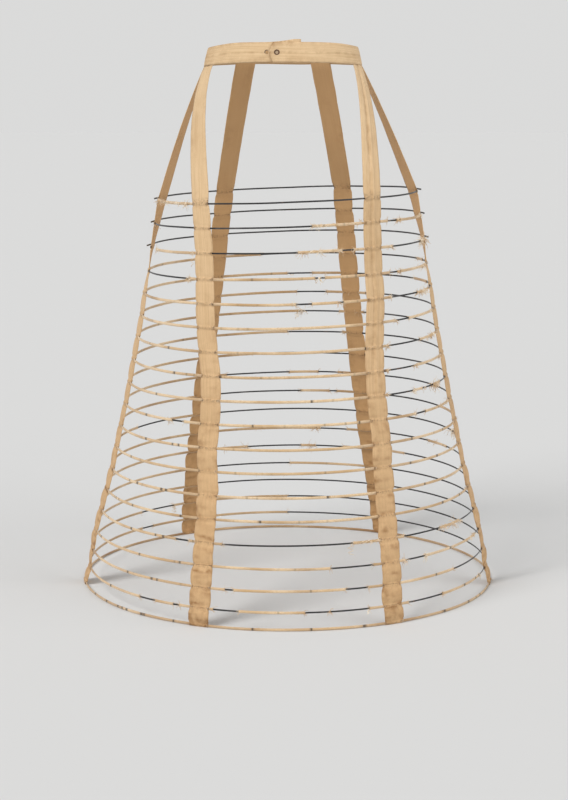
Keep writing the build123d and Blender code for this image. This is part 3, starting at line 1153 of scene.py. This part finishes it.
def hemStations(tape):
    # the last channel and the fold under it
    last = hoopPoint(hoopCount, crossings[tape][hoopCount])
    across = alongHoop(hoopCount, crossings[tape][hoopCount])
    stations = [(last, across, tapeCloth["channelGap"], 0.0, hoopCount)]
    for drop, share in tapeCloth["hemFold"]:
        gap = tapeCloth["channelGap"] * share
        stations.append((last - Vector((0, 0, drop)), across, gap, drop, hoopCount))
    return stations


def tapeCourse(tape):
    # down one tape: middle, direction across, half the channel's opening, distance to the hoop, hoop
    holds = tapeHolds(tape)
    stations = hipStations(tape, holds[1])
    for number in range(1, hoopCount):
        stations += bayStations(tape, number, holds[number], holds[number + 1])
    return stations + hemStations(tape)


def tapeRelief(tape, aside, height, number, distance):
    # how far the cloth stands out of flat: crown, lengthwise folds and puckers by the hoops
    folds = tapeCloth["folds"]
    share = aside / tapeCloth["halfWidth"]
    low = max(0.0, min(1.0, (folds["looseUnder"] - height) / 0.4))
    wave = noise.noise(Vector((share * 1.3, height * 42, number * 0.3 + len(tape))) * 1.1)
    relief = folds["crown"] * (1 - share * share) * (0.4 + low)
    relief += folds["waves"] * low * wave * min(1.0, distance / 0.006)
    relief += folds["grain"] * noise.noise(Vector((share * 5, height * 30, 7)))
    if number:
        depth, middle, reach = folds["puckers"]
        pucker = noise.noise(Vector((share * 5, number * 2.3, height * 60)))
        relief += depth * nearTo(distance, middle, reach) * pucker
        depth, middle, reach = folds["channelEdge"]
        relief -= depth * nearTo(distance, middle, reach)
    fade = 1.0
    if tape in folds["lengthwiseOver"]:
        over = (height - folds["lengthwiseOver"][tape]) / folds["lengthwiseFade"]
        fade = max(0.0, min(1.0, over))
    for rise, middle, reach in folds["lengthwise"].get(tape, ()):
        relief += fade * rise * nearTo(share, middle, reach)
    return relief


def tapeSoil(tape, side, aside, height, number, distance):
    # side runs from -1 to 1 across the tape, aside is the same place in metres
    wear = tapeCloth["wear"]
    held = number > 0
    amount, below = wear["low"]
    soil = amount * max(0.0, (below - height) / below)
    amount, reach = wear["channel"]
    soil += amount * nearTo(distance, 0, reach) * held
    amount, reach = wear["hem"]
    soil += amount * math.exp(-height / reach)
    soil += wear["patches"] * max(0.0, noise.noise(Vector((aside * 60, height * 24, len(tape)))))
    soil += wear["edges"] * abs(side) ** 8 * (0.4 + nearTo(distance, 0, 0.003) * held)
    amount, middle, reach = wear["hemLine"]
    soil += amount * nearTo(height, middle, reach)
    crease = noise.noise(Vector((aside * 22, height * 130, 3 + len(tape)))) - wear["creaseLeast"]
    low = min(1.0, max(0.15, (tapeCloth["folds"]["looseUnder"] - height) / 0.3))
    soil += low * max(0.0, crease) * wear["creases"] * held
    if tape == "front_right" and height > wear["grooveOver"]:
        amount, middle, reach = wear["groove"]
        soil += amount * nearTo(side, middle, reach)
    return max(0.0, min(1.0, soil))


def addTapeRow(bm, layers, tape, station, out, run, besideOpen):
    # one row of corners across the tape: its two faces, and between them the channel's walls or the core
    place, across, gap, distance, number = station
    folds = tapeCloth["folds"]
    wear = tapeCloth["wear"]
    held = number > 0
    wander = noise.noise(Vector((run * 45, 3, len(tape)))) * (0.5 + (number > 9))
    lost, reach = folds["pinch"]
    width = folds["slackWidth"] - lost * nearTo(distance, 0, reach) * held
    width += folds["widthWaver"] * noise.noise(Vector((run * 38, 9, len(tape))))
    thick = tapeCloth["halfThickness"] + gap
    if held and not gap:
        lip, reach = folds["channelLip"]
        thick += lip * nearTo(distance, tapeCloth["channelReach"], reach)
    row = {"outer": [], "inner": [], "under": [], "over": [], "opened": gap > 0}
    columns = tapeCloth["columns"]
    for column in range(columns + 1):
        side = 2 * column / columns - 1
        aside = tapeCloth["halfWidth"] * width * side
        point = place + across * (aside + folds["edgeWander"] * wander)
        height = point.z
        point = point + out * tapeRelief(tape, aside, height, number, distance)
        offset = out * thick * (1 - folds["thinEdge"] * abs(side) ** 10)
        soil = tapeSoil(tape, side, aside, height, number, distance)
        marked = nearTo(distance, 0, wear["mark"]) * held * (0.35 + 0.65 * side ** 4)
        # the inner face takes the inside colour, partly painted shade
        for key, shift, innerTintAndShade in (("outer", 1, 0), ("inner", -1, wear["inside"])):
            vertex = bm.verts.new(point + offset * shift)
            vertex[layers["mark"]] = marked
            vertex[layers["soil"]] = soil
            vertex[layers["inside"]] = innerTintAndShade
            row[key].append(vertex)
        walls = (None, None)
        if gap:
            inset = out * gap * 0.97
            walls = (bm.verts.new(point + inset), bm.verts.new(point - inset))
        elif besideOpen or column in (0, columns):
            walls = (bm.verts.new(point),) * 2
        row["under"].append(walls[0])
        row["over"].append(walls[1])
    return row


def joinTapeRows(bm, layers, rows, lengths):
    columns = tapeCloth["columns"]
    width = 2 * tapeCloth["halfWidth"] / columns / mm
    edge = 0.6  # mm of weave that an edge shows
    for index, (upper, lower) in enumerate(zip(rows, rows[1:])):
        high = lengths[index] / mm
        deep = lengths[index + 1] / mm
        skins = ["outer", "inner"]
        if upper["opened"] or lower["opened"]:
            skins += ["under", "over"]
        for column in range(columns):
            left = column * width
            right = left + width
            spots = ((left, high), (right, high), (right, deep), (left, deep))
            for key in skins:
                corners = upper[key][column:column + 2] + lower[key][column:column + 2][::-1]
                addWoven(bm, layers, corners, spots)
        for column in (0, columns):
            for skin, wall in (("outer", "under"), ("inner", "over")):
                outside = (upper[skin][column], lower[skin][column])
                corners = outside + (lower[wall][column], upper[wall][column])
                addWoven(bm, layers, corners, ((0, high), (0, deep), (edge, deep), (edge, high)))
    for row in (rows[0], rows[-1]):
        bm.faces.new(row["outer"] + [row["under"][-1]] + row["inner"][::-1] + [row["under"][0]])


def buildTape(tape):
    bm, layers = clothMesh("soil", "inside", "mark")
    stations = tapeCourse(tape)
    places = [station[0] for station in stations]
    opened = [station[2] > 0 for station in stations]
    lengths = [0.0]
    for before, after in zip(places, places[1:]):
        lengths.append(lengths[-1] + (after - before).length)
    rows = []
    for index, station in enumerate(stations):
        down = (places[min(index + 1, len(places) - 1)] - places[max(index - 1, 0)]).normalized()
        out = down.cross(station[1]).normalized()
        besideOpen = any(opened[max(index - 1, 0):index + 2])
        rows.append(addTapeRow(bm, layers, tape, station, out, lengths[index], besideOpen))
    joinTapeRows(bm, layers, rows, lengths)
    return bm, lengths[-1]


stitch = {  # in mm
    "perEdge": 3,
    "outermost": 14.2,
    "spacing": 1.1,
    "rise": 1.15,
    "stand": 1.95,
    "bow": 0.16,
    "slant": 0.25,
    "radius": 0.24,
}


def addStitches(bm, layers, tape):
    # holding stitches over both edges of every channel
    for number, angle in crossings[tape].items():
        across = alongHoop(number, angle)
        out = outwardsAt(angle)
        for side in (-1, 1):
            for order in range(stitch["perEdge"]):
                aside = across * side * (stitch["outermost"] - order * stitch["spacing"]) * mm
                place = hoopPoint(number, angle) + aside
                points = []
                for step in (-2, -1, 0, 1, 2):
                    up = Vector((0, 0, step * stitch["rise"] * mm))
                    stand = (stitch["stand"] - stitch["bow"] * step ** 2) * mm
                    points.append(place + out * stand + up + across * stitch["slant"] * mm * step)
                addEvenTube(bm, layers, points, stitch["radius"] * mm, 4, dice.uniform(0.2, 0.9))


def makeTapes(cloth, thread):
    print("tapes")
    for tape in tapeNames:
        where = "".join(word.capitalize() for word in tape.split("_"))
        bm, length = buildTape(tape)
        piece = newPiece("tape" + where, bm, cloth)
        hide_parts("tape_" + tape)
        bm, layers = clothMesh("soil")
        addStitches(bm, layers, tape)
        stitches = newPiece("stitches" + where, bm, thread)


# Waistband

band = {  # angles in degrees from the front, heights across the band from 0 to 1
    "halfThickness": 0.00065,
    "overEnd": -9.7,
    "underEnd": 13.5,
    "lapRise": 0.0019,
    "lapStep": (15, 25),
    "roundEnd": 2.5,  # degrees that the over end's corners are cut back
    "flapLift": 0.0042,  # the under end stands this far above the band
    "flapSpan": (346, 368),
    "rows": 10,
    "step": 1.5,
    "sag": 0.0006,
    "crown": 0.0004,
    "waves": 0.0003,
    "thinEdge": 0.35,
    # the inner face's share of the inside colour: less bleached cloth and painted shade
    "inside": 0.55,
    "streaks": ((0.3, 0.5), (0.22, 0.24)),  # soil and height
    "streakReach": 0.05,
    # painted shade along the over end's cut edge
    "overEndEdgeShade": 0.75,
}


def bandPlace(angle, height):
    # with how far the over end is raised on the under one, and how far the under end has come away
    low, high = band["lapStep"]
    raised = max(0.0, min(1.0, (high - angle) / (high - low)))
    start, end = band["flapSpan"]
    away = max(0.0, min(1.0, (angle - start) / (end - start)))
    turn = math.radians(angle)
    sag = band["sag"] * noise.noise(Vector((math.sin(turn) * 2, math.cos(turn) * 2, height)))
    relief = band["crown"] * math.sin(math.pi * height)
    relief += band["waves"] * noise.noise(Vector((angle * 0.05, height * 6, 2)))
    place = waistPoint(angle, height, band["lapRise"] * raised + relief)
    return place + Vector((0, 0, band["flapLift"] * away * away + sag)), raised, away


def bandSoilAndShade(angle, height, index, raised, away):
    soil = 0.05 + 0.25 * max(0.0, noise.noise(Vector((angle * 0.06, height * 1.5, 5))))
    for amount, middle in band["streaks"]:
        soil += amount * nearTo(height, middle, band["streakReach"])
    # the over end's cut edge is darkened as painted shade
    soil += 0.25 * abs(2 * height - 1) ** 8 + band["overEndEdgeShade"] * math.exp(-index / 0.9)
    if raised > 0.5 and height > 0.75:
        soil += 0.15
    return min(1.0, soil + 0.4 * away)


def addBandColumn(bm, layers, angle, share, index):
    column = {"outer": [], "inner": []}
    for row in range(band["rows"] + 1):
        height = row / band["rows"]
        cut = band["roundEnd"] * (2 * height - 1) ** 2 * max(0.0, 1 - share * 14)
        place, raised, away = bandPlace(angle + cut, height)
        rim = 1 - band["thinEdge"] * abs(2 * height - 1) ** 10
        offset = outwardsAt(angle + cut) * band["halfThickness"] * rim
        soil = bandSoilAndShade(angle + cut, height, index, raised, away)
        # the inner face takes the inside colour, partly painted shade
        for key, shift, innerTintAndShade in (("outer", 1, 0.0), ("inner", -1, band["inside"])):
            vertex = bm.verts.new(place + offset * shift)
            vertex[layers["soil"]] = soil
            vertex[layers["inside"]] = innerTintAndShade
            column[key].append(vertex)
    return column


def buildBand():
    bm, layers = clothMesh("soil", "inside", "mark")
    first = band["overEnd"]
    last = 360 + band["underEnd"]
    count = math.ceil((last - first) / band["step"])
    columns = []
    for index in range(count + 1):
        share = index / count
        columns.append(addBandColumn(bm, layers, first + (last - first) * share, share, index))
    perStep = math.radians(band["step"]) * waist["halfWidth"] / mm
    perRow = (waist["top"] - waist["bottom"]) / band["rows"] / mm
    for index, (here, there) in enumerate(zip(columns, columns[1:])):
        for row in range(band["rows"]):
            places = ((row, index), (row, index + 1), (row + 1, index + 1), (row + 1, index))
            spots = [(up * perRow, ahead * perStep) for up, ahead in places]
            for key in ("outer", "inner"):
                corners = (here[key][row], there[key][row], there[key][row + 1], here[key][row + 1])
                addWoven(bm, layers, corners, spots)
        for row in (0, band["rows"]):
            bm.faces.new((here["outer"][row], there["outer"][row], there["inner"][row], here["inner"][row]))
    for column in (columns[0], columns[-1]):
        outer = column["outer"]
        inner = column["inner"]
        for row in range(band["rows"]):
            bm.faces.new((outer[row], outer[row + 1], inner[row + 1], inner[row]))
    return bm


closure = {
    "studAngle": -4.3,
    "studGap": 0.0002,
    "studSides": 28,
    "studRings": (  # radius and height of the stud's head, from its rim to its middle, in mm
        (3.9, 0.0), (4.2, 0.35), (4.0, 0.95), (3.3, 1.25),
        (2.5, 1.05), (1.9, 0.6), (1.2, 0.55), (0.5, 0.75),
    ),
    "studPaleRadius": 0.0022,
    "smoothUnder": 40,
    "eyeletAngle": -11.6,
    "eyeletRadius": 0.0031,
    "holeShare": 0.9,  # of the eyelet's radius
    "holeSides": 24,
    "punchDepth": 0.006,
    "stitches": 26,
    "stitchRadius": 0.00036,
    "stitchMiddle": 0.00055,  # past the eyelet's radius
    "stitchReach": 0.00075,
    "stitchStand": 0.0011,
}


def closurePlace(angle, outwards):
    # a place at the band's mid height, with the directions out of it and along it
    along = waistAlong(angle)
    return waistPoint(angle, 0.5, outwards), along.cross(Vector((0, 0, 1))).normalized(), along


def punchHole(target, place, out):
    radius = closure["eyeletRadius"] * closure["holeShare"]
    bpy.ops.object.select_all(action="DESELECT")
    bpy.ops.mesh.primitive_cylinder_add(
        vertices=closure["holeSides"], radius=radius, depth=closure["punchDepth"], location=place
    )
    punch = bpy.context.object
    punch.rotation_euler = out.to_track_quat("Z", "Y").to_euler()
    cut = target.modifiers.new("hole", "BOOLEAN")
    cut.operation = "DIFFERENCE"
    cut.solver = "EXACT"
    cut.object = punch
    bpy.ops.object.select_all(action="DESELECT")
    bpy.context.view_layer.objects.active = target
    target.select_set(True)
    bpy.ops.object.modifier_apply(modifier="hole")
    bpy.data.objects.remove(punch)


def makeEyelet(bandPiece, thread):
    # a hole through the band, with stitches over its edge that are painted near black as the hole's shade,
    # except towards the stud
    place, out, along = closurePlace(closure["eyeletAngle"], 0.0)
    punchHole(bandPiece, place, out)
    bm, layers = clothMesh("soil")
    for order in range(closure["stitches"]):
        turn = 2 * math.pi * order / closure["stitches"]
        spoke = along * math.cos(turn) + Vector((0, 0, math.sin(turn)))
        points = []
        for step in range(5):
            swing = math.pi * (step / 4 - 0.5)
            past = closure["stitchMiddle"] - closure["stitchReach"] * math.cos(swing)
            reach = closure["eyeletRadius"] + past
            points.append(place + spoke * reach + out * math.sin(swing) * closure["stitchStand"])
        # painted shade: the stitches away from the stud go near black for the dark of the hole
        soil = 0.0 if spoke.dot(along) > 0.4 else 1.0
        addEvenTube(bm, layers, points, closure["stitchRadius"], 5, soil)
    eyelet = newPiece("eyeletStitching", bm, thread)
    return eyelet


def shapeStud():
    # the head is raised ring by ring from its rim, and both ends are filled
    bpy.ops.object.select_all(action="DESELECT")
    radius, height = closure["studRings"][0]
    bpy.ops.mesh.primitive_circle_add(vertices=closure["studSides"], radius=radius * mm, fill_type="NGON")
    stud = bpy.context.object
    bpy.ops.object.mode_set(mode="EDIT")
    bpy.ops.mesh.select_all(action="SELECT")
    for nextRadius, nextHeight in closure["studRings"][1:]:
        lift = {"value": (0, 0, (nextHeight - height) * mm)}
        bpy.ops.mesh.extrude_region_move(TRANSFORM_OT_translate=lift)
        bpy.ops.transform.resize(value=(nextRadius / radius, nextRadius / radius, 1))
        radius, height = nextRadius, nextHeight
    bpy.ops.mesh.select_all(action="SELECT")
    bpy.ops.mesh.normals_make_consistent(inside=False)
    bpy.ops.object.mode_set(mode="OBJECT")
    bpy.ops.object.shade_smooth_by_angle(angle=math.radians(closure["smoothUnder"]))
    return stud


def makeStud(metal):
    stud = shapeStud()
    pale = stud.data.attributes.new("pale", "FLOAT", "POINT")
    for vertex in stud.data.vertices:
        inner = math.hypot(vertex.co.x, vertex.co.y) < closure["studPaleRadius"]
        pale.data[vertex.index].value = 1.0 if inner else 0.0
    raised = band["lapRise"] + band["halfThickness"] + closure["studGap"]
    place, out, _ = closurePlace(closure["studAngle"], raised)
    stud.data.transform(Matrix.Translation(place) @ out.to_track_quat("Z", "Y").to_matrix().to_4x4())
    stud.name = "waistStud"
    stud.data.materials.append(metal)
    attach(stud, "root")
    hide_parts("waist_stud")


def makeWaistband(cloth, thread, metal):
    print("waistband")
    piece = newPiece("waistbandTape", buildBand(), cloth)
    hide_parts("waistband")
    print("stud and eyelet")
    eyelet = makeEyelet(piece, thread)
    makeStud(metal)


setStage()
strayTapes(tapeCloth["strays"])
tapeMaterial = makeTapeCloth()
braidMaterial = makeBraid()
threadMaterial = makeLooseThread()
steelMaterial = makeSpringSteel()
studMaterial = makeStudMetal()
makeSteelHoops(steelMaterial)
makeCovers(braidMaterial)
makeFraying(threadMaterial)
makeTapes(tapeMaterial, threadMaterial)
makeWaistband(tapeMaterial, threadMaterial, studMaterial)
